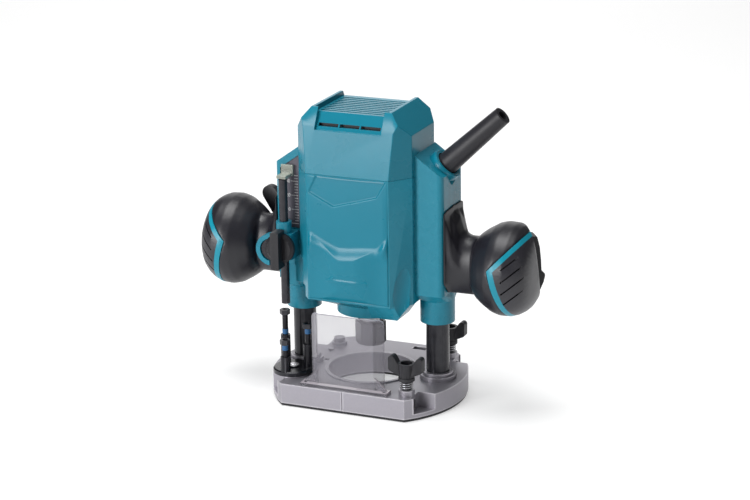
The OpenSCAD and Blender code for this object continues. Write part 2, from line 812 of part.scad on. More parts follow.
module knob_form(side, inset = 0) {
    if (side > 0) {
        intersection() {
            knob_solid(inset);
            on_trigger() translate([trigger_flat - inset, 0, knob_z - 5]) rotate([0, -flat_lean, 0])
                translate([-120, -60, -60]) cube(120);
        }
    } else {
        knob_solid(inset);
    }
}

module knob_skin(side) {
    difference() {
        knob_form(side);
        knob_form(side, skin_t);
    }
}

neck_y = 13.5;
neck_lo = knob_z - 21;
neck_hi = knob_z + 20.5;

// Rings of twelve points round the neck, from the column's side into the knob
neck_foot = [
    [0, knob_z + 40.5], [-9, knob_z + 40], [-column_y + 0.5, knob_z + 39.5], [-column_y + 0.5, knob_z + 15],
    [-column_y + 0.5, knob_z - 10.5], [-11, neck_lo + 2.5], [0, neck_lo], [11, neck_lo + 2.5],
    [column_y - 0.5, knob_z - 10.5], [column_y - 0.5, knob_z + 15], [column_y - 0.5, knob_z + 39.5], [9, knob_z + 40]
];
function neck_oval(y, lo, hi) = [
    for (a = [90:30:449]) [y * cos(a) * 1.04, (lo + hi) / 2 + (hi - lo) / 2 * sin(a) * (1 - 0.1 * abs(cos(a)))]
];
neck_rings = [
    [column_x, neck_foot], [column_x + 0.9, neck_foot],
    [column_x + 5.5, neck_oval(column_y - 1.4, neck_lo, neck_hi + 16.5)],
    [column_x + 9, neck_oval(neck_y + 2.4, neck_lo, neck_hi + 4)],
    [column_x + 14, neck_oval(neck_y + 0.8, neck_lo, neck_hi + 0.2)], [column_x + 22.5, neck_oval(neck_y, neck_lo, neck_hi)]
];

module neck() {
    n = 12;
    last = len(neck_rings) - 1;
    polyhedron(
        points = [for (q = neck_rings, p = q[1]) [q[0], p[0], p[1]]],
        faces = concat(
            [[for (k = [0:n - 1]) k], [for (k = [n - 1:-1:0]) last * n + k]],
            [for (i = [0:last - 1], k = [0:n - 1]) let (k2 = (k + 1) % n, a = i * n, b = a + n)
                for (f = [[a + k, b + k, b + k2], [a + k, b + k2, a + k2]]) f]
        ),
        convexity = 4
    );
}

module grip_body(side) {
    difference() {
        union() {
            neck();
            knob_form(side);
        }
        knob_form(side, skin_t + knob_wall);
        difference() {
            beyond_band(0);
            knob_form(side, skin_t);
        }
        if (side > 0) {
            trigger_space(clear);
            lock_button_hole();
        } else {
            translate([lock_x, -60, lock_z]) along_y() cylinder(r = lock_shaft_r + run_gap, h = 120);
            translate([lock_x, -column_y - 8, lock_z]) along_y() cylinder(r = 11.4, h = 11.7);
        }
    }
}

module grip(side, half) {
    color("#3a3940") intersection() {
        scale([side, 1, 1]) grip_body(side);
        half_space(half);
    }
}

module left_grip_front() {
    grip(-1, -1);
}

module left_grip_rear() {
    grip(-1, 1);
}

module right_grip_front() {
    grip(1, -1);
}

module right_grip_rear() {
    grip(1, 1);
}

module band(side) {
    color("#1f8fae") scale([side, 1, 1]) difference() {
        intersection() {
            knob_skin(side);
            beyond_band(0);
        }
        beyond_band(band_w);
        if (side > 0) {
            trigger_space(clear);
            lock_button_hole();
        }
    }
}

module left_band() {
    band(-1);
}

module right_band() {
    band(1);
}

module pad(side) {
    color("#302f35") scale([side, 1, 1]) difference() {
        intersection() {
            knob_skin(side);
            beyond_band(band_w);
        }
        // Grooves in the front of the pad
        for (i = [0:3]) translate([knob_x + 8, -knob_r, knob_z - 16 + 8.5 * i]) rotate([0, -40, 0])
            translate([-2, -2, -0.5]) cube([18, 12, 0.9]);
        if (side > 0) {
            trigger_space(clear);
            lock_button_hole();
        }
    }
}

module left_pad() {
    pad(-1);
}

module right_pad() {
    pad(1);
}

trigger_turn = 35;
trigger_half = 6;
trigger_lo = knob_z - 19;
trigger_hi = knob_z + 22;
trigger_in = 15;

module on_trigger() {
    // X here points out along the trigger's travel
    translate([knob_x - 3, 0, 0]) rotate([0, 0, trigger_turn]) children();
}

module trigger_space(gap) {
    on_trigger() block([trigger_in - trigger_travel - 1, -trigger_half - gap, trigger_lo - gap],
        [60, trigger_half + gap, trigger_hi + gap]);
}

module trigger() {
    // Finger lever with a rest at its lower end
    color("#1d1c20") on_trigger() translate([0, trigger_half, 0]) rotate([90, 0, 0])
        linear_extrude(2 * trigger_half) polygon([
            [trigger_in, trigger_lo], [trigger_in, trigger_hi], [22.5, trigger_hi],
            [24.5, knob_z + 14], [25.4, knob_z + 5], [25.8, knob_z - 3], [28.1, knob_z - 4.4],
            [28.3, knob_z - 6.4], [27.3, knob_z - 10.5], [23.5, trigger_lo]
        ]);
}

button_r = 4;
button_x = knob_x - 2;
button_z = knob_z + 9;

module lock_button_hole() {
    translate([button_x, knob_r - 20, button_z]) along_y() cylinder(r = button_r + clear, h = 40);
}

module lock_button() {
    color("#1d1c20") translate([button_x, 20, button_z]) along_y() union() {
        cylinder(r = button_r, h = knob_r - 20 + 0.8);
        cylinder(r = button_r - 1, h = knob_r - 20 + 1.4);
    }
}

module switch_body() {
    color("#2f2f33") union() {
        block([knob_x - 20 + skin_t + knob_wall, -9, knob_z - 12], [knob_x, 7, knob_z + 12]);
        block([knob_x - eps, -2, knob_z - 3], [knob_x + 1.5, 3, knob_z + 6]);
    }
}

module lock_shaft() {
    color("gray") translate([-lock_x, -column_y + 0.6, lock_z]) along_y()
        cylinder(r = lock_shaft_r, h = 2 * column_y + 7);
}

module lock_cap() {
    // Slotted nut inside the ring on the front of the column
    color("#232227") translate([-lock_x, -column_y - 1.2, lock_z]) along_y() difference() {
        cylinder(r = lock_cap_r, h = 1.8);
        translate([0, 0, -1]) rotate(35) translate([-4, -0.4, 0]) cube([8, 0.8, 1.4]);
    }
}

lever_y = column_y + 1.6;
lever_t = 6;
lever_tip = [-22, 26];

module lock_lever() {
    color("#2a292e") translate([-lock_x, lever_y, lock_z]) difference() {
        hull() {
            along_y() cylinder(r = 8.2, h = lever_t, $fn = 48);
            translate([lever_tip[0], 4.4, lever_tip[1]]) along_y() cylinder(r = 5.8, h = lever_t - 1.2, $fn = 48);
        }
        translate([0, -1, 0]) along_y() cylinder(r = lock_shaft_r, h = 30);
    }
}

// ---- motor ----

top_bearing_r = 11;
top_bearing_w = 7;
top_spindle_r = 4;
spindle_z = nose_z - 12;
nut_z = head_z - plunge + 12.8;
nut_h = 15.8;

module fan_baffle() {
    color("#3b3b40") translate([0, 0, baffle_z]) difference() {
        linear_extrude(baffle_t) outline(wall);
        translate([0, 0, -1]) cylinder(r = 22, h = baffle_t + 2);
    }
}

module stator() {
    color("#6d6d72") translate([0, 0, stator_z]) difference() {
        cylinder(r = stator_r, h = core_len);
        translate([0, 0, -1]) cylinder(r = core_r + 0.5, h = core_len + 2);
        for (s = [-1, 1]) translate([s * stator_r, 0, -1]) scale([1, 1, 1]) cylinder(r = 4, h = core_len + 2);
    }
}

module upper_bracket() {
    color("#3b3b40") translate([0, 0, bracket_z]) difference() {
        linear_extrude(bracket_t) outline(wall);
        translate([0, 0, -1]) cylinder(r = top_bearing_r + run_gap, h = bracket_t + 2);
        for (a = [45:90:315]) rotate(a) translate([22, 0, -1]) cylinder(r = 5, h = bracket_t + 2);
    }
}

module upper_bearing() {
    color("silver") translate([0, 0, bracket_z]) ring(top_bearing_r, top_spindle_r + run_gap, top_bearing_w);
}

module lower_bearing() {
    color("silver") translate([0, 0, nose_z + nose_lip]) ring(bearing_r - run_gap, spindle_r + run_gap, bearing_w);
}

brush_w = 6;
comm_r = 10;

module brush_holders() {
    color("#b08d57") for (s = [-1, 1]) scale([s, 1, 1]) difference() {
        block([comm_r + 2, -5, bracket_z - 10], [body_x - 14.5, 5, bracket_z]);
        block([comm_r, -brush_w / 2 - 0.1, bracket_z - 5 - brush_w / 2 - 0.1],
            [40, brush_w / 2 + 0.1, bracket_z - 5 + brush_w / 2 + 0.1]);
    }
}

module carbon_brushes() {
    color("#222222") for (s = [-1, 1]) scale([s, 1, 1])
        block([comm_r + clear, -brush_w / 2, bracket_z - 5 - brush_w / 2], [body_x - 15.5, brush_w / 2, bracket_z - 5 + brush_w / 2]);
}

module spindle() {
    color("#b9b9be") difference() {
        union() {
            translate([0, 0, spindle_z]) cylinder(r = spindle_r, h = baffle_z - spindle_z);
            translate([0, 0, baffle_z - eps]) cylinder(r = top_spindle_r, h = bracket_z + top_bearing_w - baffle_z);
        }
        // Taper for the collet
        translate([0, 0, spindle_z - 1]) cylinder(r = collet_body_r + 0.02, h = collet_in + 1);
        // Cross hole for the shaft lock
        translate([0, 0, lock_pin_z]) along_y() cylinder(r = lock_pin_r + 0.4, h = 2 * spindle_r + 2, center = true);
    }
}

collet_body_r = 5.6;
collet_in = 9;
collet_len = 21;

module collet() {
    color("#d0d0d4") translate([0, 0, spindle_z + collet_in - collet_len]) difference() {
        union() {
            cylinder(r = collet_body_r, h = collet_len);
            translate([0, 0, 2]) cylinder(r = 6.6, h = 3);
        }
        translate([0, 0, -1]) cylinder(r = collet_r, h = collet_len + 2);
        for (a = [0, 120, 240]) rotate(a) translate([0, -0.4, -1]) cube([20, 0.8, collet_len - 4]);
    }
}

module collet_nut() {
    color("#2c2b30") translate([0, 0, nut_z]) difference() {
        union() {
            intersection() {
                rotate(15) cylinder(r = 10.8, h = nut_h, $fn = 6);
                cylinder(r1 = 9.4, r2 = 9.4 + nut_h, h = nut_h);
            }
            cylinder(r = 8.8, h = nut_h + 1.2);
        }
        translate([0, 0, -1]) cylinder(r = collet_body_r + 0.05, h = 6);
        translate([0, 0, 2.2]) cylinder(r = 6.65, h = 6);
        translate([0, 0, 5.2]) cylinder(r = spindle_r + 0.05, h = 30);
    }
}

module armature_core() {
    color("#5b5b60") translate([0, 0, stator_z]) difference() {
        cylinder(r = core_r, h = core_len);
        translate([0, 0, -1]) cylinder(r = top_spindle_r, h = core_len + 2);
        for (a = [0:30:330]) rotate(a) translate([core_r - 3, -0.8, -1]) cube([6, 1.6, core_len + 2]);
    }
}

module commutator() {
    color("#b87333") translate([0, 0, comm_z]) ring(comm_r, top_spindle_r, 10);
}

fan_r = 27;
fan_z = baffle_z - 10.5;

module fan() {
    color("#3f3f45") difference() {
        union() {
            translate([0, 0, fan_z]) cylinder(r = fan_r, h = 1.6);
            translate([0, 0, fan_z]) cylinder(r = spindle_r + 3, h = 8);
            for (a = [0:30:330]) rotate(a) translate([13, -0.6, fan_z + 1.6 - eps]) cube([12.5, 1.2, 7]);
        }
        translate([0, 0, fan_z - 1]) cylinder(r = spindle_r, h = 20);
    }
}

module shaft_lock() {
    color("#232227") translate([0, 0, lock_pin_z]) along_y() union() {
        translate([0, 0, spindle_r + 1]) cylinder(r = lock_pin_r, h = body_back - spindle_r + 1);
        translate([0, 0, lock_seat_y + lock_travel + 0.3]) cylinder(r = lock_head_r, h = 6.4);
    }
}

// ---- cord ----

module cord_guard() {
    color("#2f2e34") on_cord_axis() difference() {
        union() {
            translate([0, 0, -guard_in - 0.1]) cylinder(r = guard_r0 + 2.4, h = 3.2);
            translate([0, 0, -guard_in]) cylinder(r1 = guard_r0 + 0.4, r2 = guard_r1, h = guard_len + guard_in);
        }
        translate([0, 0, -guard_in - 1]) cylinder(r = cord_d / 2 + 0.01, h = guard_len + guard_in + 2);
    }
}

module cord_clamp() {
    color("#3b3b40") translate([body_x - wall - 8, -7, stator_z + core_len - 2.6]) difference() {
        cube([8, 14, 5]);
        translate([4, 2.5, -1]) cylinder(r = 1.4, h = 8);
        translate([4, 11.5, -1]) cylinder(r = 1.4, h = 8);
    }
}

base_casting();
sole_plate();
sole_screws();
left_post();
right_post();
chip_guard();
front_clamp_screw();
front_clamp_spring();
rear_clamp_screw();
rear_clamp_spring();
turret_pin();
turret();
low_stop_bolt();
middle_stop_bolt();
high_stop_bolt();
front_housing();
rear_housing();
top_cover();
housing_screws();
post_bushings();
left_post_spring();
right_post_spring();
left_grip_front();
left_grip_rear();
left_band();
left_pad();
right_grip_front();
right_grip_rear();
right_band();
right_pad();
trigger();
lock_button();
switch_body();
scale_plate();
depth_pointer();
depth_rod();
rod_clamp_knob();
lock_shaft();
lock_lever();
lock_cap();
stator();
fan_baffle();
upper_bracket();
upper_bearing();
lower_bearing();
brush_holders();
carbon_brushes();
spindle();
armature_core();
commutator();
fan();
collet();
collet_nut();
shaft_lock();
cord_guard();
cord_clamp();
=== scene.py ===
import json
import math

import bmesh
import bpy
from mathutils import Matrix, Vector


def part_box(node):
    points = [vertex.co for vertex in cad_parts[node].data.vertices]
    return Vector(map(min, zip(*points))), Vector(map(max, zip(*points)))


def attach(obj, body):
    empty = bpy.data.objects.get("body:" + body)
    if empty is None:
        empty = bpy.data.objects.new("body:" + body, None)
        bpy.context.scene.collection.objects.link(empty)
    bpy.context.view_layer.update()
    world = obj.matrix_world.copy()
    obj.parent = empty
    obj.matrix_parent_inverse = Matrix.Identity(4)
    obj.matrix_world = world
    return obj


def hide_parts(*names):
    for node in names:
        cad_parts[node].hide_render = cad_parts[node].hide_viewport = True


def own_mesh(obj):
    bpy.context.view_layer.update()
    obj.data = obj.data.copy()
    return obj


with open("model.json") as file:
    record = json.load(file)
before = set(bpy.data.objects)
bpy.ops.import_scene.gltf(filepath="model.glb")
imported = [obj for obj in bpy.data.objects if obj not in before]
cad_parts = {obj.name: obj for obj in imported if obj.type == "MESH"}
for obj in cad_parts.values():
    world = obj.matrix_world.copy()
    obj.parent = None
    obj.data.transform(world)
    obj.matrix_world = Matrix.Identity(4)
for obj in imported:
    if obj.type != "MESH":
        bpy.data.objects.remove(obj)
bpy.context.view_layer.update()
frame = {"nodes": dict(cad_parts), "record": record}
mm = 0.001
bodyOf = {node: body for body, nodes in frame["record"]["behaviour"]["bodies"].items() for node in nodes}
slotOf = {entry["node"]: entry["material_slot"] for entry in frame["record"]["subparts"]}
print("frame loaded:", len(frame["nodes"]), "nodes")

# ---- camera, lights and floor ----

cameraSettings = {
    "azimuth": 23.25,
    "elevation": 17.37,
    "roll": -0.83,
    "lens": 112.07,
    "distance": 1.603,
    "aim": (0.0034, 0.0015, 0.1018),
}


def viewAxes(azimuth, elevation, roll):
    az, el, ro = (math.radians(v) for v in (azimuth, elevation, roll))
    back = Vector((math.sin(az) * math.cos(el), -math.cos(az) * math.cos(el), math.sin(el)))
    right = Vector((math.cos(az), math.sin(az), 0))
    up = back.cross(right)
    return right * math.cos(ro) + up * math.sin(ro), up * math.cos(ro) - right * math.sin(ro), back


def makeCamera(settings):
    right, up, back = viewAxes(settings["azimuth"], settings["elevation"], settings["roll"])
    data = bpy.data.cameras.new("camera")
    data.lens = settings["lens"]
    data.sensor_width = 36
    data.clip_start = 0.05
    camera = bpy.data.objects.new("camera", data)
    bpy.context.collection.objects.link(camera)
    turn = Matrix((right, up, back)).transposed().to_4x4()
    camera.matrix_world = Matrix.Translation(Vector(settings["aim"]) + back * settings["distance"]) @ turn
    bpy.context.scene.camera = camera


makeCamera(cameraSettings)

lampSettings = [
    {"name": "keyLamp", "from": (-0.72, -1.6, 0.5), "size": 0.8, "watts": 26},
    {"name": "topLamp", "from": (-0.2, -0.1, 1.8), "size": 1.2, "watts": 34},
    {"name": "sideLamp", "from": (1.6, -0.9, 0.7), "size": 0.9, "watts": 1.5},
    {"name": "backLamp", "from": (-0.75, 1.75, 0.68), "size": 1.4, "watts": 8},
]


def aimLamp(name, place, size, watts, target=(0, 0, 0.1)):
    data = bpy.data.lights.new(name, "AREA")
    data.shape = "SQUARE"
    data.size = size
    data.energy = watts
    lamp = bpy.data.objects.new(name, data)
    bpy.context.collection.objects.link(lamp)
    lamp.location = place
    lamp.rotation_euler = (Vector(target) - Vector(place)).to_track_quat("-Z", "Y").to_euler()


for lamp in lampSettings:
    aimLamp(lamp["name"], lamp["from"], lamp["size"], lamp["watts"])

worldSettings = {"ambient": 0.14, "backdrop": 1.0}
floorSettings = {"size": 6, "drop": 0.0002, "tone": 0.62, "glow": 0.42, "rough": 0.9, "specular": 0.1}
bpy.context.scene.view_settings.view_transform = "Standard"


def makeWorld(settings):
    # Weak even light on the object, with a white backdrop that only the camera sees
    world = bpy.data.worlds.new("studio")
    bpy.context.scene.world = world
    world.use_nodes = True
    tree = world.node_tree
    fill = tree.nodes["Background"]
    backdrop = tree.nodes.new("ShaderNodeBackground")
    for node, strength in ((fill, settings["ambient"]), (backdrop, settings["backdrop"])):
        node.inputs["Strength"].default_value = strength
        node.inputs["Color"].default_value = (1, 1, 1, 1)
    path = tree.nodes.new("ShaderNodeLightPath")
    pick = tree.nodes.new("ShaderNodeMixShader")
    tree.links.new(path.outputs["Is Camera Ray"], pick.inputs[0])
    tree.links.new(fill.outputs[0], pick.inputs[1])
    tree.links.new(backdrop.outputs[0], pick.inputs[2])
    tree.links.new(pick.outputs[0], tree.nodes["World Output"].inputs["Surface"])


def makeFloor(settings):
    mesh = bpy.data.meshes.new("floor")
    bm = bmesh.new()
    bmesh.ops.create_grid(bm, x_segments=1, y_segments=1, size=settings["size"])
    bmesh.ops.translate(bm, verts=bm.verts, vec=(0, 0, -settings["drop"]))
    bm.to_mesh(mesh)
    bm.free()
    floor = bpy.data.objects.new("floor", mesh)
    bpy.context.collection.objects.link(floor)
    mat = bpy.data.materials.new("paleFloor")
    mat.use_nodes = True
    shader = mat.node_tree.nodes["Principled BSDF"]
    shader.inputs["Base Color"].default_value = (*[settings["tone"]] * 3, 1)
    shader.inputs["Emission Color"].default_value = (1, 1, 1, 1)
    shader.inputs["Emission Strength"].default_value = settings["glow"]
    shader.inputs["Roughness"].default_value = settings["rough"]
    shader.inputs["Specular IOR Level"].default_value = settings["specular"]
    mesh.materials.append(mat)


makeWorld(worldSettings)
makeFloor(floorSettings)
print("camera, lamps and floor ready")

# ---- shared surface effects ----


def newGroup(name, ins, outs):
    group = bpy.data.node_groups.new(name, "ShaderNodeTree")
    for label, value in ins.items():
        socket = group.interface.new_socket(label, in_out="INPUT", socket_type="NodeSocketFloat")
        socket.default_value = value
    for label, kind in outs.items():
        group.interface.new_socket(label, in_out="OUTPUT", socket_type=kind)
    return group, group.nodes.new("NodeGroupInput"), group.nodes.new("NodeGroupOutput")


def mathNode(tree, how, a, b):
    node = tree.nodes.new("ShaderNodeMath")
    node.operation = how
    for socket, value in zip(node.inputs, (a, b)):
        if isinstance(value, (int, float)):
            socket.default_value = value
        else:
            tree.links.new(value, socket)
    return node.outputs[0]


def noiseNode(tree, coords, scale, detail=2, roughness=0.5):
    node = tree.nodes.new("ShaderNodeTexNoise")
    node.inputs["Detail"].default_value = detail
    node.inputs["Roughness"].default_value = roughness
    tree.links.new(coords, node.inputs["Vector"])
    if isinstance(scale, (int, float)):
        node.inputs["Scale"].default_value = scale
    else:
        tree.links.new(scale, node.inputs["Scale"])
    return node.outputs["Fac"]


def makeMouldedGrain():
    # Spark-eroded texture of moulded plastic: fine bumps, and a faint uneven tone from handling
    group, gin, gout = newGroup(
        "mouldedGrain", {"Scale": 1600, "Patch": 28}, {"Height": "NodeSocketFloat", "Tone": "NodeSocketFloat"}
    )
    coords = group.nodes.new("ShaderNodeTexCoord").outputs["Object"]
    fine = noiseNode(group, coords, gin.outputs["Scale"], 3, 0.6)
    patch = noiseNode(group, coords, gin.outputs["Patch"], 4, 0.55)
    group.links.new(fine, gout.inputs["Height"])
    group.links.new(patch, gout.inputs["Tone"])
    return group


def makeCastSkin():
    # Skin of a sand-blasted casting: soft lumps with small pits
    group, gin, gout = newGroup(
        "castSkin", {"Scale": 900, "Pits": 420}, {"Height": "NodeSocketFloat", "Tone": "NodeSocketFloat"}
    )
    coords = group.nodes.new("ShaderNodeTexCoord").outputs["Object"]
    lumps = noiseNode(group, coords, gin.outputs["Scale"], 4, 0.62)
    pits = group.nodes.new("ShaderNodeTexVoronoi")
    group.links.new(coords, pits.inputs["Vector"])
    group.links.new(gin.outputs["Pits"], pits.inputs["Scale"])
    hollow = mathNode(group, "MINIMUM", pits.outputs["Distance"], 0.35)
    group.links.new(mathNode(group, "ADD", lumps, hollow), gout.inputs["Height"])
    group.links.new(noiseNode(group, coords, 1100, 3, 0.6), gout.inputs["Tone"])
    return group


def makeTurnedMarks():
    # Fine lines left by turning or drawing, across the part's length
    group, gin, gout = newGroup(
        "turnedMarks", {"Along": 40, "Across": 3200}, {"Height": "NodeSocketFloat", "Tone": "NodeSocketFloat"}
    )
    coords = group.nodes.new("ShaderNodeTexCoord").outputs["Object"]
    stretch = group.nodes.new("ShaderNodeCombineXYZ")
    split = group.nodes.new("ShaderNodeSeparateXYZ")
    group.links.new(coords, split.inputs[0])
    for axis, label in (("X", "Along"), ("Y", "Along"), ("Z", "Across")):
        group.links.new(mathNode(group, "MULTIPLY", split.outputs[axis], gin.outputs[label]), stretch.inputs[axis])
    lines = noiseNode(group, stretch.outputs[0], 1, 2, 0.5)
    group.links.new(lines, gout.inputs["Height"])
    group.links.new(noiseNode(group, coords, 70, 3, 0.5), gout.inputs["Tone"])
    return group


def makePaintedEdgeHighlight():
    # Painted highlight along convex edges: a paler colour there, broken up by noise
    group, gin, gout = newGroup("paintedEdgeHighlight", {"Amount": 1.0}, {"Mask": "NodeSocketFloat"})
    coords = group.nodes.new("ShaderNodeTexCoord").outputs["Object"]
    sharp = group.nodes.new("ShaderNodeNewGeometry").outputs["Pointiness"]
    rise = group.nodes.new("ShaderNodeMapRange")
    rise.inputs["From Min"].default_value = 0.515
    rise.inputs["From Max"].default_value = 0.6
    group.links.new(sharp, rise.inputs["Value"])
    broken = mathNode(group, "MULTIPLY", rise.outputs[0], noiseNode(group, coords, 160, 4, 0.65))
    group.links.new(mathNode(group, "MULTIPLY", broken, gin.outputs["Amount"]), gout.inputs["Mask"])
    return group


def makePaintedCastHighlight():
    # Painted highlight on cast edges: short rays inside the metal meet its other side only near an outer edge, and
    # there a brighter colour is mixed in
    group, gin, gout = newGroup("paintedCastHighlight", {"Amount": 1.0, "Reach": 0.001}, {"Mask": "NodeSocketFloat"})
    coords = group.nodes.new("ShaderNodeTexCoord").outputs["Object"]
    inner = group.nodes.new("ShaderNodeAmbientOcclusion")
    inner.inside = True
    inner.only_local = True
    inner.samples = 6
    group.links.new(gin.outputs["Reach"], inner.inputs["Distance"])
    rise = group.nodes.new("ShaderNodeMapRange")
    rise.inputs["From Min"].default_value = 0.96
    rise.inputs["From Max"].default_value = 0.6
    group.links.new(inner.outputs["AO"], rise.inputs["Value"])
    broken = mathNode(group, "ADD", noiseNode(group, coords, 160, 4, 0.65), 0.3)
    castHighlight = mathNode(group, "MULTIPLY", rise.outputs[0], broken)
    group.links.new(mathNode(group, "MULTIPLY", castHighlight, gin.outputs["Amount"]), gout.inputs["Mask"])
    return group


def makeSeamLine():
    # Dark parting line where two moulded halves meet in the middle plane
    group, gin, gout = newGroup("seamLine", {"Half": 0.0002}, {"Mask": "NodeSocketFloat"})
    coords = group.nodes.new("ShaderNodeTexCoord").outputs["Object"]
    split = group.nodes.new("ShaderNodeSeparateXYZ")
    group.links.new(coords, split.inputs[0])
    apart = mathNode(group, "ABSOLUTE", split.outputs["Y"], 0)
    group.links.new(mathNode(group, "LESS_THAN", apart, gin.outputs["Half"]), gout.inputs["Mask"])
    return group


effects = {
    "mouldedGrain": makeMouldedGrain(),
    "castSkin": makeCastSkin(),
    "turnedMarks": makeTurnedMarks(),
    "paintedEdgeHighlight": makePaintedEdgeHighlight(),
    "paintedCastHighlight": makePaintedCastHighlight(),
    "seamLine": makeSeamLine(),
}


def placeEffect(tree, name, values):
    node = tree.nodes.new("ShaderNodeGroup")
    node.node_tree = effects[name]
    for label, value in values.items():
        node.inputs[label].default_value = value
    return node


def mixTone(tree, fac, low, high):
    node = tree.nodes.new("ShaderNodeMix")
    node.data_type = "RGBA"
    tree.links.new(fac, node.inputs["Factor"])
    for socket, value in ((node.inputs[6], low), (node.inputs[7], high)):
        if hasattr(value, "is_linked") or hasattr(value, "links"):
            tree.links.new(value, socket)
        else:
            socket.default_value = (*value, 1)
    return node.outputs[2]


def spanNode(tree, value, low, high):
    node = tree.nodes.new("ShaderNodeMapRange")
    node.inputs["To Min"].default_value = low
    node.inputs["To Max"].default_value = high
    tree.links.new(value, node.inputs["Value"])
    return node.outputs[0]


seamShade = 0.15


def surface(name, skin, colour, spread=0.12, rough=0.5, roughSpread=0.12, depth=0.02, metallic=0.0, specular=0.5,
            edgeHighlightAmount=0.0, edgeHighlightColour=(0.5, 0.5, 0.5), edgeHighlightEffect="paintedEdgeHighlight", skinValues=None, seam=0.0):
    # A material from one skin effect: its tone varies colour and roughness, its height makes the bump
    mat = bpy.data.materials.new(name)
    mat.use_nodes = True
    tree = mat.node_tree
    shader = tree.nodes["Principled BSDF"]
    shader.inputs["Metallic"].default_value = metallic
    shader.inputs["Specular IOR Level"].default_value = specular
    effect = placeEffect(tree, skin, skinValues or {})
    low = tuple(c * (1 - spread) for c in colour)
    high = tuple(min(1, c * (1 + spread)) for c in colour)
    tone = mixTone(tree, effect.outputs["Tone"], low, high)
    # Painted edge highlight: a paler colour mixed in along the edges
    if edgeHighlightAmount:
        edgeHighlightMask = placeEffect(tree, edgeHighlightEffect, {"Amount": edgeHighlightAmount})
        tone = mixTone(tree, edgeHighlightMask.outputs["Mask"], tone, edgeHighlightColour)
    if seam:
        line = placeEffect(tree, "seamLine", {"Half": seam * mm})
        tone = mixTone(tree, line.outputs["Mask"], tone, tuple(c * seamShade for c in colour))
    tree.links.new(tone, shader.inputs["Base Color"])
    vary = spanNode(tree, effect.outputs["Tone"], rough - roughSpread, rough + roughSpread)
    tree.links.new(vary, shader.inputs["Roughness"])
    bump = tree.nodes.new("ShaderNodeBump")
    bump.inputs["Strength"].default_value = 1.0
    bump.inputs["Distance"].default_value = depth * mm
    tree.links.new(effect.outputs["Height"], bump.inputs["Height"])
    tree.links.new(bump.outputs["Normal"], shader.inputs["Normal"])
    return mat


clearSettings = {
    "ior": 1.46, "grain": {"Scale": 900, "Patch": 60}, "roughSpan": (0.6, 1.8), "hazeSpan": (0.85, 1.15),
    "blend": 0.35, "cutHaze": 0.5,
}


def clearSurface(name, colour, rough=0.06, alpha=0.3, edge=0.5, rim=(0.3, 0.3, 0.3)):
    # Thin clear plastic, lightly scuffed: denser where seen at a slant, and on its cut edges, which have their own tone
    mat = bpy.data.materials.new(name)
    mat.use_nodes = True
    tree = mat.node_tree
    shader = tree.nodes["Principled BSDF"]
    shader.inputs["IOR"].default_value = clearSettings["ior"]
    cut = tree.nodes.new("ShaderNodeAttribute")
    cut.attribute_name = "cutEdge"
    tree.links.new(mixTone(tree, cut.outputs["Fac"], colour, rim), shader.inputs["Base Color"])
    effect = placeEffect(tree, "mouldedGrain", clearSettings["grain"])
    vary = spanNode(tree, effect.outputs["Tone"], *(rough * share for share in clearSettings["roughSpan"]))
    tree.links.new(vary, shader.inputs["Roughness"])
    haze = spanNode(tree, effect.outputs["Tone"], *(alpha * share for share in clearSettings["hazeSpan"]))
    facing = tree.nodes.new("ShaderNodeLayerWeight")
    facing.inputs["Blend"].default_value = clearSettings["blend"]
    steep = mathNode(tree, "MULTIPLY", facing.outputs["Facing"], edge)
    body = mathNode(tree, "ADD", haze, steep)
    held = mathNode(tree, "MULTIPLY", cut.outputs["Fac"], clearSettings["cutHaze"])
    tree.links.new(mathNode(tree, "ADD", body, held), shader.inputs["Alpha"])
    return mat
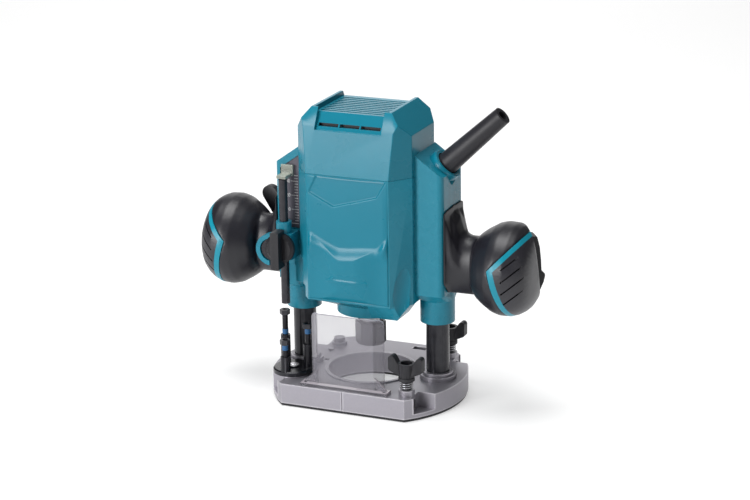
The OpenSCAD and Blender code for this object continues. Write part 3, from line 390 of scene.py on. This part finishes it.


# Some finishes get a painted highlight along their edges, in a paler colour
finishes = {
    "cast_aluminium": surface("castAluminium", "castSkin", (0.29, 0.278, 0.31), spread=0.09, rough=0.4,
                              roughSpread=0.06, depth=0.05, metallic=0.6, edgeHighlightAmount=0.5,
                              edgeHighlightColour=(0.8, 0.78, 0.82), edgeHighlightEffect="paintedCastHighlight"),
    "black_plastic": surface("blackPlastic", "mouldedGrain", (0.008, 0.0078, 0.0105), rough=0.46, depth=0.02,
                             edgeHighlightAmount=0.4, edgeHighlightColour=(0.06, 0.06, 0.066), specular=0.3),
    "black_steel": surface("blackSteel", "turnedMarks", (0.009, 0.0088, 0.0125), rough=0.22, roughSpread=0.06,
                           depth=0.006, metallic=0.3, edgeHighlightAmount=0.5, edgeHighlightColour=(0.2, 0.2, 0.22), specular=0.35),
    "bright_steel": surface("brightSteel", "turnedMarks", (0.5, 0.5, 0.52), rough=0.3, depth=0.006, metallic=1.0),
    "clear_plastic": clearSurface("clearPlastic", (0.25, 0.24, 0.275), alpha=0.26, edge=0.5, rim=(0.4, 0.365, 0.4)),
    "tinted_plastic": clearSurface("tintedPlastic", (0.36, 0.38, 0.33), alpha=0.5, rim=(0.3, 0.32, 0.27)),
    "teal_plastic": surface("tealPlastic", "mouldedGrain", (0.003, 0.15, 0.218), spread=0.07, rough=0.28,
                            roughSpread=0.05, depth=0.012, edgeHighlightAmount=0.3, edgeHighlightColour=(0.05, 0.3, 0.4), specular=0.27),
    "teal_accent": surface("tealAccent", "mouldedGrain", (0.006, 0.21, 0.29), spread=0.06, rough=0.3,
                           roughSpread=0.05, depth=0.006, specular=0.3),
    "soft_grip": surface("softGrip", "mouldedGrain", (0.0065, 0.0063, 0.0105), spread=0.12, rough=0.4,
                         roughSpread=0.05, depth=0.014, specular=0.5, skinValues={"Scale": 1300}, seam=0.35),
    "soft_pad": surface("softPad", "mouldedGrain", (0.016, 0.0155, 0.021), rough=0.36, depth=0.018,
                        specular=0.5),
    "grey_plastic": surface("greyPlate", "mouldedGrain", (0.085, 0.08, 0.1), rough=0.5, depth=0.006, specular=0.3),
    "bronze": surface("sinteredBronze", "castSkin", (0.45, 0.3, 0.13), rough=0.4, depth=0.02, metallic=0.9),
    "copper": surface("turnedCopper", "turnedMarks", (0.6, 0.27, 0.13), rough=0.3, depth=0.01, metallic=1.0),
    "carbon": surface("carbonBlock", "castSkin", (0.012, 0.012, 0.013), rough=0.6, depth=0.02),
    "cord_rubber": surface("cordRubber", "mouldedGrain", (0.013, 0.0125, 0.016), rough=0.45, depth=0.02, specular=0.36,
                           skinValues={"Scale": 900, "Patch": 60}),
}
print("finishes ready:", len(finishes))

# ---- helpers for pieces ----


def showPiece(name, mesh, slot, body, stands=()):
    mesh.materials.clear()
    mesh.materials.append(finishes[slot])
    obj = bpy.data.objects.new(name, mesh)
    bpy.context.collection.objects.link(obj)
    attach(obj, body)
    if stands:
        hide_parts(*stands)
    return obj


def meshFrom(bm, name, scale=1.0, smooth=False):
    # Turns a working mesh into a stored one, and frees it
    if scale != 1:
        bmesh.ops.scale(bm, verts=bm.verts, vec=(scale, scale, scale))
    if smooth:
        for face in bm.faces:
            face.smooth = True
    mesh = bpy.data.meshes.new(name)
    bm.to_mesh(mesh)
    bm.free()
    return mesh


def addTo(bm, other):
    # Adds a second working mesh to the first
    mesh = meshFrom(other, "added")
    bm.from_mesh(mesh)
    bpy.data.meshes.remove(mesh)


def weldedCopy(node, flat=0.6):
    # The CAD mesh with its doubles merged and its flat faces joined up
    bm = bmesh.new()
    bm.from_mesh(frame["nodes"][node].data)
    bmesh.ops.remove_doubles(bm, verts=bm.verts, dist=4e-6)
    bmesh.ops.dissolve_limit(
        bm, angle_limit=math.radians(flat), verts=bm.verts, edges=bm.edges, use_dissolve_boundaries=False
    )
    return bm


def applyModifiers(obj):
    evaluated = obj.evaluated_get(bpy.context.evaluated_depsgraph_get())
    mesh = bpy.data.meshes.new_from_object(evaluated)
    obj.modifiers.clear()
    obj.data = mesh


bevelSettings = {"least": 0.02, "roomShare": 0.4, "flatWeight": 80}


def addBevel(obj, width, segments=2):
    # The width holds for an edge of weight one
    bevel = obj.modifiers.new("softEdges", "BEVEL")
    bevel.width = width * mm
    bevel.segments = segments
    bevel.limit_method = "WEIGHT"
    bevel.use_clamp_overlap = True
    even = obj.modifiers.new("evenShading", "WEIGHTED_NORMAL")
    even.weight = bevelSettings["flatWeight"]


def weighEdges(bm, width, angle, fine):
    # Bevel weight of each sharp edge: less where its neighbours are close, or in a fine region
    layer = bm.edges.layers.float.new("bevel_weight_edge")
    sharp = [edge for edge in bm.edges if len(edge.link_faces) == 2 and edge.calc_face_angle(0) > math.radians(angle)]
    for edge in sharp:
        weight = 1.0
        for box in fine:
            middle = (edge.verts[0].co + edge.verts[1].co) / 2 / mm
            if all(low <= value <= high for low, value, high in zip(box["low"], middle, box["high"])):
                weight = box["weight"]
        room = min(face.calc_area() / max(other.calc_length() for other in face.edges) for face in edge.link_faces)
        fits = room * bevelSettings["roomShare"] / (width * mm)
        edge[layer] = max(bevelSettings["least"], min(weight, fits))


def softened(node, width=0.5, angle=32, fine=()):
    # A merged copy of a CAD node with soft edges, which stands in for it
    bm = weldedCopy(node)
    weighEdges(bm, width, angle, fine)
    mesh = meshFrom(bm, node + "Finish", smooth=True)
    obj = showPiece(node + "Finish", mesh, slotOf[node], bodyOf[node], (node,))
    addBevel(obj, width)
    return obj


# ---- every CAD node gets its finish ----

for node, obj in frame["nodes"].items():
    obj.data.materials.clear()
    obj.data.materials.append(finishes[slotOf[node]])

# ---- mechanical pieces, with their moulded or machined edges ----

edgeWidths = {
    "base_casting": 1.1, "sole_plate": 0.4, "left_post": 0.3, "right_post": 0.3, "chip_guard": 0.35,
    "front_clamp_screw": 0.5, "rear_clamp_screw": 0.5, "turret_pin": 0.2, "turret": 0.3,
    "low_stop_bolt": 0.2, "middle_stop_bolt": 0.2, "high_stop_bolt": 0.2, "front_housing": 1.0,
    "rear_housing": 1.0, "top_cover": 1.0, "scale_plate": 0.2, "depth_pointer": 0.3, "depth_rod": 0.2,
    "rod_clamp_knob": 0.7, "lock_shaft": 0.2, "lock_lever": 1.2, "lock_cap": 0.2, "trigger": 0.9,
    "lock_button": 0.4, "shaft_lock": 0.5, "collet_nut": 0.4, "collet": 0.2, "spindle": 0.2,
    "cord_guard": 0.8,
}
fineEdges = {
    "top_cover": [
        {"low": (-26.9, -24.5, 198), "high": (26.9, 22, 206), "weight": 0.25},
        {"low": (-24, -40, 193.5), "high": (24, -26, 199.5), "weight": 0.2},
    ],
}
for node, width in edgeWidths.items():
    softened(node, width, fine=fineEdges.get(node, ()))


cutSettings = {"sideways": 0.82, "upward": 0.35}


def markCutEdges(name, settings):
    # Marks the narrow faces round a clear pane, for its shader
    obj = bpy.data.objects[name]
    applyModifiers(obj)
    mark = obj.data.attributes.new("cutEdge", "FLOAT", "FACE")
    for face in obj.data.polygons:
        turned = abs(face.normal.x) > settings["sideways"] or face.normal.z > settings["upward"]
        mark.data[face.index].value = 1.0 if turned else 0.0


for name in ("chip_guardFinish", "depth_pointerFinish"):
    markCutEdges(name, cutSettings)
print("mechanical pieces softened:", len(edgeWidths))

# ---- front panel of the housing ----

panelSettings = {
    "front": -37,
    "halfWidth": 29.4,
    "low": 76,
    "high": 162.4,
    "step": 0.5,
    "wall": 1.3,
    "edgeRound": 3.2,
    "topRound": 0.8,
    "crown": 0.5,
    "brow": 3.0,
    "bulge": 0.9,
    "leanFrom": 125,
    "browAbove": 4,
    "browBelow": 5.5,
    "chin": 11,
    "badgeDepth": 0.85,
    "badge": [(-22, 164), (29.2, 164), (21.6, 151), (-9.8, 142), (-28.2, 150.6)],
    "arrow": [(-16.5, 90), (-8, 95), (-9.6, 91.9), (14, 91.9), (15.5, 90)],
    "arrowRise": 0.3,
    "badgeEdge": (0.1, 0.6),
    "arrowEdge": (0.3, 0.6),
    "browLine": {"base": 110.8, "tilt": 2, "left": -5.7, "right": 19.9, "span": 25.6,
                 "leftEnd": (24.9, 11.4, 1.3), "rightEnd": (10.3, 11.5, 1.6)},
    "room": ((-29.3, -40, 76.1), (29.3, -36.1, 162.3)),
    "sides": {"below": 104, "over": 18, "rise": 1.0, "more": 3.4, "at": 26.2, "wide": 22},
}


def awayFromEdges(x, z, corners):
    # Distance to the outline, positive inside
    best = 1e9
    inside = False
    for (x0, z0), (x1, z1) in zip(corners, corners[1:] + corners[:1]):
        along = ((x - x0) * (x1 - x0) + (z - z0) * (z1 - z0)) / ((x1 - x0) ** 2 + (z1 - z0) ** 2)
        along = min(1, max(0, along))
        best = min(best, math.hypot(x - x0 - along * (x1 - x0), z - z0 - along * (z1 - z0)))
        if (z0 > z) != (z1 > z) and x < x0 + (z - z0) * (x1 - x0) / (z1 - z0):
            inside = not inside
    return best if inside else -best


def ease(value):
    value = min(1, max(0, value))
    return value * value * (3 - 2 * value)


def browLine(x, line):
    # Height of the curved crease: almost level in the middle, rising at the sides
    height = line["base"] + line["tilt"] * ease((x - line["left"]) / line["span"])
    for out, (reach, rise, power) in ((line["left"] - x, line["leftEnd"]), (x - line["right"], line["rightEnd"])):
        height += rise * (max(0, out) / reach) ** power
    return height


def panelRise(x, z, settings):
    # How far the panel stands out of its plane at one point
    brow = browLine(x, settings["browLine"])
    side = settings["halfWidth"] - abs(x)
    rise = settings["crown"] * (1 - (x / settings["halfWidth"]) ** 2)
    lean = max(0, (z - settings["leanFrom"]) / (settings["high"] - settings["leanFrom"]))
    rise += settings["bulge"] * (1 - lean ** 2)
    ramp = (brow + settings["browAbove"] - z) / (settings["browAbove"] + settings["browBelow"])
    rise += settings["brow"] * ease(ramp)
    rise *= math.sqrt(min(1, max(0, side / settings["edgeRound"])))
    rise *= ease((settings["high"] - z) / settings["topRound"])
    under = min(1, max(0, (z - settings["low"]) / settings["chin"]))
    rise *= math.sqrt(under * (2 - under))
    sides = settings["sides"]
    most = sides["rise"] + sides["more"] * ease((sides["at"] - abs(x)) / sides["wide"])
    if rise > most:
        # The lower sides stay back, clear of the folded guard when the head is down
        rise += (most - rise) * ease((sides["below"] + sides["over"] - z) / sides["over"])
    for mark, height in (("badge", -settings["badgeDepth"]), ("arrow", settings["arrowRise"])):
        start, width = settings[mark + "Edge"]
        rise += height * ease((awayFromEdges(x, z, settings[mark]) + start) / width)
    return rise


def subtract(obj, bm):
    # Takes the cutter's volume out of a piece; the cutter is in millimetres
    cutter = bpy.data.objects.new("cutter", meshFrom(bm, "cutter", mm))
    bpy.context.collection.objects.link(cutter)
    cut = obj.modifiers.new("cut", "BOOLEAN")
    cut.operation = "DIFFERENCE"
    cut.solver = "EXACT"
    cut.object = cutter
    obj.modifiers.move(len(obj.modifiers) - 1, 0)
    applyModifiers(obj)
    bpy.data.objects.remove(cutter)


def boxCutter(low, high):
    bm = bmesh.new()
    bmesh.ops.create_cube(bm, size=1)
    bmesh.ops.scale(bm, verts=bm.verts, vec=[h - l for l, h in zip(low, high)])
    bmesh.ops.translate(bm, verts=bm.verts, vec=[(h + l) / 2 for l, h in zip(low, high)])
    return bm


coveSettings = {"centre": (37.9, -31.2, 86), "axes": (8.6, 3.6, 21), "turn": 50.6, "lean": 9}


def coveCutter(settings):
    # Shallow scoop in the right cheek
    bm = bmesh.new()
    bmesh.ops.create_uvsphere(bm, u_segments=40, v_segments=24, radius=1)
    bmesh.ops.scale(bm, verts=bm.verts, vec=settings["axes"])
    lean = Matrix.Rotation(math.radians(settings["lean"]), 4, "Y")
    turn = Matrix.Rotation(math.radians(settings["turn"]), 4, "Z")
    bmesh.ops.transform(bm, matrix=Matrix.Translation(settings["centre"]) @ turn @ lean, verts=bm.verts)
    return bm


def makeFrontPanel(settings):
    width = settings["halfWidth"] * 2
    height = settings["high"] - settings["low"]
    bm = bmesh.new()
    bmesh.ops.create_grid(
        bm, x_segments=round(width / settings["step"]), y_segments=round(height / settings["step"]), size=0.5
    )
    for vert in bm.verts:
        x = vert.co.x * width
        z = settings["low"] + (vert.co.y + 0.5) * height
        vert.co = Vector((x, settings["front"] - panelRise(x, z, settings), z)) * mm
    rim = [edge for edge in bm.edges if edge.is_boundary]
    walls = bmesh.ops.extrude_edge_only(bm, edges=rim)["geom"]
    for vert in walls:
        if isinstance(vert, bmesh.types.BMVert):
            vert.co.y = (settings["front"] + settings["wall"]) * mm
    bmesh.ops.recalc_face_normals(bm, faces=bm.faces)
    if sum(face.normal.y for face in bm.faces) > 0:
        bmesh.ops.reverse_faces(bm, faces=bm.faces)
    return showPiece("frontPanel", meshFrom(bm, "frontPanel", smooth=True), "teal_plastic", "head")


subtract(bpy.data.objects["front_housingFinish"], boxCutter(*panelSettings["room"]))
subtract(bpy.data.objects["front_housingFinish"], coveCutter(coveSettings))
makeFrontPanel(panelSettings)
print("front panel made")

# ---- rounded mouth of the cord boss ----

bossSettings = {
    "at": (57, 0, 168.3), "lean": 47.2, "around": 96,
    "profile": [
        (11.7, -19), (11.6, -8), (11.5, -1), (11.3, 0.4), (10.9, 1.3),
        (10.3, 1.75), (9.7, 1.5), (9.2, 0.8), (9, -0.4), (8.9, -5),
    ],
    "skirt": {"x": 53.4, "low": 146, "high": 158, "tip": 4, "top": 9.6},
}


def makeBoss(settings):
    # A turned rim on the slant, and the cone under it
    bm = bmesh.new()
    verts = [bm.verts.new((radius * mm, 0, height * mm)) for radius, height in settings["profile"]]
    edges = [bm.edges.new(pair) for pair in zip(verts, verts[1:])]
    bmesh.ops.spin(
        bm, geom=verts + edges, cent=(0, 0, 0), axis=(0, 0, 1), angle=2 * math.pi, steps=settings["around"],
        use_merge=True
    )
    bmesh.ops.remove_doubles(bm, verts=bm.verts, dist=1e-6)
    turn = Matrix.Rotation(math.radians(settings["lean"]), 4, "Y")
    bmesh.ops.transform(bm, matrix=Matrix.Translation(Vector(settings["at"]) * mm) @ turn, verts=bm.verts)
    skirt = settings["skirt"]
    cone = bmesh.ops.create_cone(
        bm, cap_ends=True, segments=64, radius1=skirt["tip"] * mm, radius2=skirt["top"] * mm,
        depth=(skirt["high"] - skirt["low"]) * mm
    )["verts"]
    bmesh.ops.translate(bm, verts=cone, vec=(skirt["x"] * mm, 0, (skirt["high"] + skirt["low"]) / 2 * mm))
    bmesh.ops.recalc_face_normals(bm, faces=bm.faces)
    return showPiece("cordBoss", meshFrom(bm, "cordBoss", smooth=True), "teal_plastic", "head")


makeBoss(bossSettings)

# ---- black sheet under the grille and front slots: painted shade ----

grilleShadeSettings = {
    "grille": ((-26, -26.5, 199.4), (26, 17, 200.4)),
    "slots": ((-25, -27.2, 188), (25, -26.6, 199)),
}


def makeGrilleShade(settings):
    # Black boxes under the grille and the front slots, painted shade that keeps the slots dark
    bm = boxCutter(*settings["grille"])
    addTo(bm, boxCutter(*settings["slots"]))
    return showPiece("grilleLiner", meshFrom(bm, "grilleShadeMesh", mm), "black_plastic", "head")


makeGrilleShade(grilleShadeSettings)

# ---- return springs in the posts ----

returnSettings = {"nodes": ("left_post_spring", "right_post_spring"), "travel": 35}


def makeReturnSprings(settings):
    for node in settings["nodes"]:
        mesh = frame["nodes"][node].data.copy()
        obj = showPiece(node + "Finish", mesh, slotOf[node], bodyOf[node], (node,))
        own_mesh(obj)


makeReturnSprings(returnSettings)

# ---- springs under the clamp screws ----

springSettings = {"radius": 4.1, "wire": 0.38, "turns": 3.5, "gap": 0.4, "sides": 10, "perTurn": 28}


def makeSpring(name, settings):
    low, high = (Vector(corner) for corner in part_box(name))
    centre = (low + high) / 2
    bottom = low.z + settings["gap"] * mm
    rise = high.z - low.z - 2 * settings["gap"] * mm
    steps = settings["turns"] * settings["perTurn"]
    bm = bmesh.new()
    bmesh.ops.create_circle(bm, segments=settings["sides"], radius=settings["wire"] * mm)
    upright = Matrix.Rotation(math.radians(90), 4, "X")
    place = Matrix.Translation((centre.x + settings["radius"] * mm, centre.y, bottom))
    bmesh.ops.transform(bm, matrix=place @ upright, verts=bm.verts)
    bmesh.ops.spin(
        bm, geom=bm.edges[:], cent=(centre.x, centre.y, bottom), axis=(0, 0, 1), dvec=(0, 0, rise / steps),
        angle=2 * math.pi * settings["turns"], steps=round(steps), use_merge=False
    )
    bmesh.ops.holes_fill(bm, edges=[edge for edge in bm.edges if edge.is_boundary])
    bmesh.ops.recalc_face_normals(bm, faces=bm.faces)
    mesh = meshFrom(bm, name + "Coil", smooth=True)
    showPiece(name + "Coil", mesh, slotOf[name], bodyOf[name], (name,))


for spring in ("front_clamp_spring", "rear_clamp_spring"):
    makeSpring(spring, springSettings)

# ---- marks on the depth scale ----

markSettings = {
    "pitch": 2, "every": 5, "short": 2.6, "long": 5.2, "thick": 0.28, "lift": 0.08,
    "inset": 1.2, "start": 3, "spare": 14, "digit": 3.4, "digitGap": 0.6, "digitDrop": 0.36,
}


def digitMesh(text, settings):
    curve = bpy.data.curves.new("digits", "FONT")
    curve.body = text
    curve.size = settings["digit"]
    curve.align_x = "RIGHT"
    curve.extrude = settings["lift"] / 2
    holder = bpy.data.objects.new("digits", curve)
    bpy.context.collection.objects.link(holder)
    mesh = bpy.data.meshes.new_from_object(holder.evaluated_get(bpy.context.evaluated_depsgraph_get()))
    bpy.data.objects.remove(holder)
    return mesh


def makeScaleMarks(settings):
    low, high = (Vector(corner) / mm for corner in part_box("scale_plate"))
    bm = bmesh.new()
    count = int((high.z - low.z - settings["spare"]) / settings["pitch"])
    right = high.x - settings["inset"]
    front = low.y - settings["lift"] / 2
    heights = [low.z + settings["start"] + index * settings["pitch"] for index in range(count)]
    for index, z in enumerate(heights):
        length = settings["long"] if index % settings["every"] == 0 else settings["short"]
        bar = bmesh.ops.create_cube(bm, size=1)["verts"]
        bmesh.ops.scale(bm, verts=bar, vec=(length, settings["lift"], settings["thick"]))
        bmesh.ops.translate(bm, verts=bar, vec=(right - length / 2, front, z))
    upright = Matrix.Rotation(math.radians(90), 4, "X")
    for index in range(0, count, settings["every"]):
        flat = digitMesh(str(index * settings["pitch"]), settings)
        drop = settings["digit"] * settings["digitDrop"]
        place = (right - settings["long"] - settings["digitGap"], front, heights[index] - drop)
        flat.transform(Matrix.Translation(place) @ upright)
        bm.from_mesh(flat)
    piece = showPiece("scaleMarks", meshFrom(bm, "scaleMarks", mm), "grey_plastic", "head")
    piece.data.materials[0] = whitePrint


whitePrint = surface("whitePrint", "mouldedGrain", (0.62, 0.62, 0.62), rough=0.5, depth=0.004)
makeScaleMarks(markSettings)

# ---- blue locking patches on the stop bolts ----

patchSettings = {
    "radius": 2.15, "height": 3.6, "colour": (0.008, 0.085, 0.22), "around": 28, "rounding": 0.12,
    "below": {"low_stop_bolt": 5.732, "middle_stop_bolt": 5.732, "high_stop_bolt": 16},
}


def makePatches(settings):
    paint = surface("threadPatch", "mouldedGrain", settings["colour"], rough=0.45, depth=0.02)
    radius = settings["radius"]
    for node, below in settings["below"].items():
        low, high = (Vector(corner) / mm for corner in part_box(node))
        centre = (low + high) / 2
        bm = bmesh.new()
        bmesh.ops.create_cone(
            bm, cap_ends=True, segments=settings["around"], radius1=radius, radius2=radius, depth=settings["height"]
        )
        bmesh.ops.translate(bm, verts=bm.verts, vec=(centre.x, centre.y, high.z - below))
        bmesh.ops.bevel(
            bm, geom=bm.edges[:], offset=settings["rounding"], segments=2, profile=0.5, affect="EDGES",
            material=-1, clamp_overlap=True
        )
        piece = showPiece(node + "Patch", meshFrom(bm, node + "Patch", mm), "black_steel", bodyOf[node])
        piece.data.materials[0] = paint


makePatches(patchSettings)
print("springs, scale marks and patches made")

# ---- soft handles ----

handleSettings = {
    "voxel": 0.72, "blendAt": 85, "blendWidth": 11, "blendRounds": 50, "rounds": 5,
    "capRoom": {"centre": (-65, 101), "radius": 11.4, "low": -27, "high": -15.3},
    "knobX": 100, "knobZ": 100, "waistAt": 88, "waistWidth": 12, "waist": 0.05,
    "padWidth": 0.45, "padAngle": 40,
    "endScale": {"left": 0.9, "right": 1.0},
}


def shapeKnob(bm, side, settings):
    # Draws the knob in towards its neck, and shortens its outer end
    for vert in bm.verts:
        x, y, z = vert.co / mm
        away = abs(abs(x) - settings["waistAt"]) / settings["waistWidth"]
        draw = 1 - settings["waist"] * ease(1 - away)
        out = max(0, abs(x) - settings["knobX"]) * (1 - settings["endScale"][side])
        height = settings["knobZ"] + (z - settings["knobZ"]) * draw
        vert.co = Vector((math.copysign(abs(x) - out, x), y * draw, height)) * mm


neckSettings = {
    "foot": [(0, 40.5), (9, 40), (17, 39.6), (18.5, 38), (18.5, -10.5), (11, -18.5), (0, -21)],
    "from": 61.3, "flat": 62.2, "curve": 14, "to": 86, "step": 0.8, "around": 72,
    "halfWidth": 14, "halfHeight": 20.6, "centre": -0.3, "shrink": 0.9, "shrinkTo": 81.2,
}


def footReach(angle, corners):
    # Distance from the handle's axis to the foot's outline in one direction
    way = Vector((abs(math.cos(angle)), math.sin(angle)))
    for start, end in zip(corners, corners[1:]):
        a, b = Vector(start), Vector(end)
        side = b - a
        cross = way.x * side.y - way.y * side.x
        if abs(cross) < 1e-9:
            continue
        reach = (a.x * side.y - a.y * side.x) / cross
        along = (a.x * way.y - a.y * way.x) / cross
        if reach > 0 and -1e-6 <= along <= 1 + 1e-6:
            return reach
    return abs(corners[-1][1])


def neckLoft(sign, axisZ, settings):
    # Smooth skin from the foot on the column's side into the round of the neck
    bm = bmesh.new()
    stations = [settings["from"]]
    while stations[-1] < settings["to"]:
        stations.append(stations[-1] + settings["step"])
    rings = []
    for x in stations:
        along = min(1, max(0, (x - settings["flat"]) / settings["curve"]))
        left = 1 - math.sqrt(1 - (1 - along) ** 2)
        ring = []
        for index in range(settings["around"]):
            angle = 2 * math.pi * index / settings["around"]
            way = Vector((math.cos(angle), math.sin(angle)))
            oval = Vector((settings["halfWidth"] * way.x, settings["centre"] + settings["halfHeight"] * way.y))
            foot = footReach(angle, settings["foot"]) * way
            y, z = oval.lerp(foot, left)
            ring.append(bm.verts.new((sign * x * mm, y * mm, (axisZ + z) * mm)))
        rings.append(ring)
    for one, two in zip(rings, rings[1:]):
        for index in range(len(one)):
            after = (index + 1) % len(one)
            bm.faces.new((one[index], one[after], two[after], two[index]))
    bm.faces.new(rings[0])
    bm.faces.new(rings[-1])
    bmesh.ops.recalc_face_normals(bm, faces=bm.faces)
    return bm


def rodCutter(centre, radius, low, high):
    # Round cutter along Y
    bm = bmesh.new()
    bmesh.ops.create_cone(bm, cap_ends=True, segments=64, radius1=radius, radius2=radius, depth=high - low)
    place = Matrix.Translation((centre[0], (low + high) / 2, centre[1])) @ Matrix.Rotation(math.radians(90), 4, "X")
    bmesh.ops.transform(bm, matrix=place, verts=bm.verts)
    return bm


def gripSkin(side, settings, neck):
    # Both halves of a grip and the loft of its neck, in one mesh
    bm = weldedCopy(side + "_grip_front")
    addTo(bm, weldedCopy(side + "_grip_rear"))
    shapeKnob(bm, side, settings)
    for vert in bm.verts:
        if abs(vert.co.x) / mm < neck["shrinkTo"]:
            vert.co.y *= neck["shrink"]
            vert.co.z += (settings["knobZ"] * mm - vert.co.z) * (1 - neck["shrink"])
    addTo(bm, neckLoft(1 if side == "right" else -1, settings["knobZ"], neck))
    return meshFrom(bm, side + "Grip")


def remeshEvenly(obj, voxel):
    remesh = obj.modifiers.new("even", "REMESH")
    remesh.mode = "VOXEL"
    remesh.voxel_size = voxel * mm
    remesh.use_smooth_shade = True
    applyModifiers(obj)


def relaxSkin(obj, settings):
    # Full fillet where the neck runs into the knob, and a light smoothing all over
    blend = obj.vertex_groups.new(name="blend")
    for vert in obj.data.vertices:
        away = abs(abs(vert.co.x) / mm - settings["blendAt"]) / settings["blendWidth"]
        if away < 1:
            blend.add([vert.index], ease(1 - away), "REPLACE")
    for group, rounds in (("blend", settings["blendRounds"]), ("", settings["rounds"])):
        relax = obj.modifiers.new("relax", "SMOOTH")
        relax.factor = 0.5
        relax.iterations = rounds
        relax.vertex_group = group
    applyModifiers(obj)


def makeHandle(side, settings):
    halves = (side + "_grip_front", side + "_grip_rear")
    obj = showPiece(side + "Grip", gripSkin(side, settings, neckSettings), "soft_grip", "head", halves)
    remeshEvenly(obj, settings["voxel"])
    relaxSkin(obj, settings)
    if side == "left":
        subtract(obj, rodCutter(**settings["capRoom"]))
    for part in ("band", "pad"):
        skin = softened(side + "_" + part, settings["padWidth"], settings["padAngle"])
        bm = bmesh.new()
        bm.from_mesh(skin.data)
        shapeKnob(bm, side, settings)
        bm.to_mesh(skin.data)
        bm.free()


for side in ("left", "right"):
    makeHandle(side, handleSettings)
print("handles moulded")
